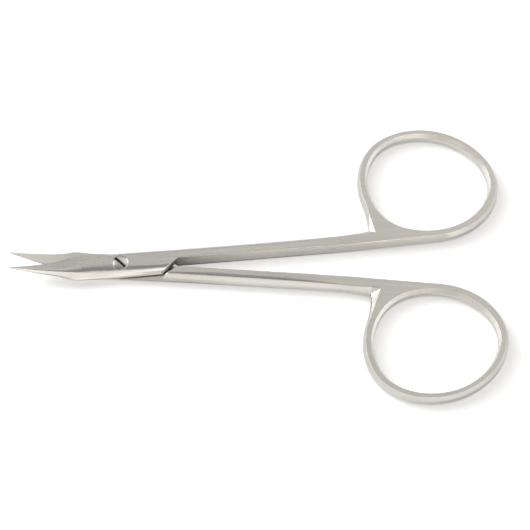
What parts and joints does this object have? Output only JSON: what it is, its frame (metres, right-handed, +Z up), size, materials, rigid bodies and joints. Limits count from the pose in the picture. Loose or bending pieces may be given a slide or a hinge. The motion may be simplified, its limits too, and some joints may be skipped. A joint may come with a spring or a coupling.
{
  "type": "suture scissors",
  "caption": "Small all-metal suture scissors: two crossed halves with curved pointed blades, flat bevelled shanks and closed finger rings, turning on a slotted pivot screw.",
  "frame": {"origin": "on the pivot axis, in the flat underside of the joint on which the scissors lie", "axes": "+X from the pivot towards the finger rings, along the line midway between the halves; +Y towards the upper half's ring; +Z up along the pivot axis, out of the screw's slotted head"},
  "size_m": [0.0984, 0.0624, 0.005],
  "materials": {
    "satin_steel": "satin ground, with brighter bevels",
    "screw_steel": "fine turned"
  },
  "bodies": {
    "lower": {"lower_half": "satin_steel", "pivot_screw": "screw_steel"},
    "upper": {"upper_half": "satin_steel"}
  },
  "joints": [
    {"name": "pivot", "type": "hinge", "parent": "lower", "child": "upper", "pos_m": [0, 0, 0.0017], "axis": [0, 0, 1], "range_deg": [-9.1, 80.9]}
  ]
}
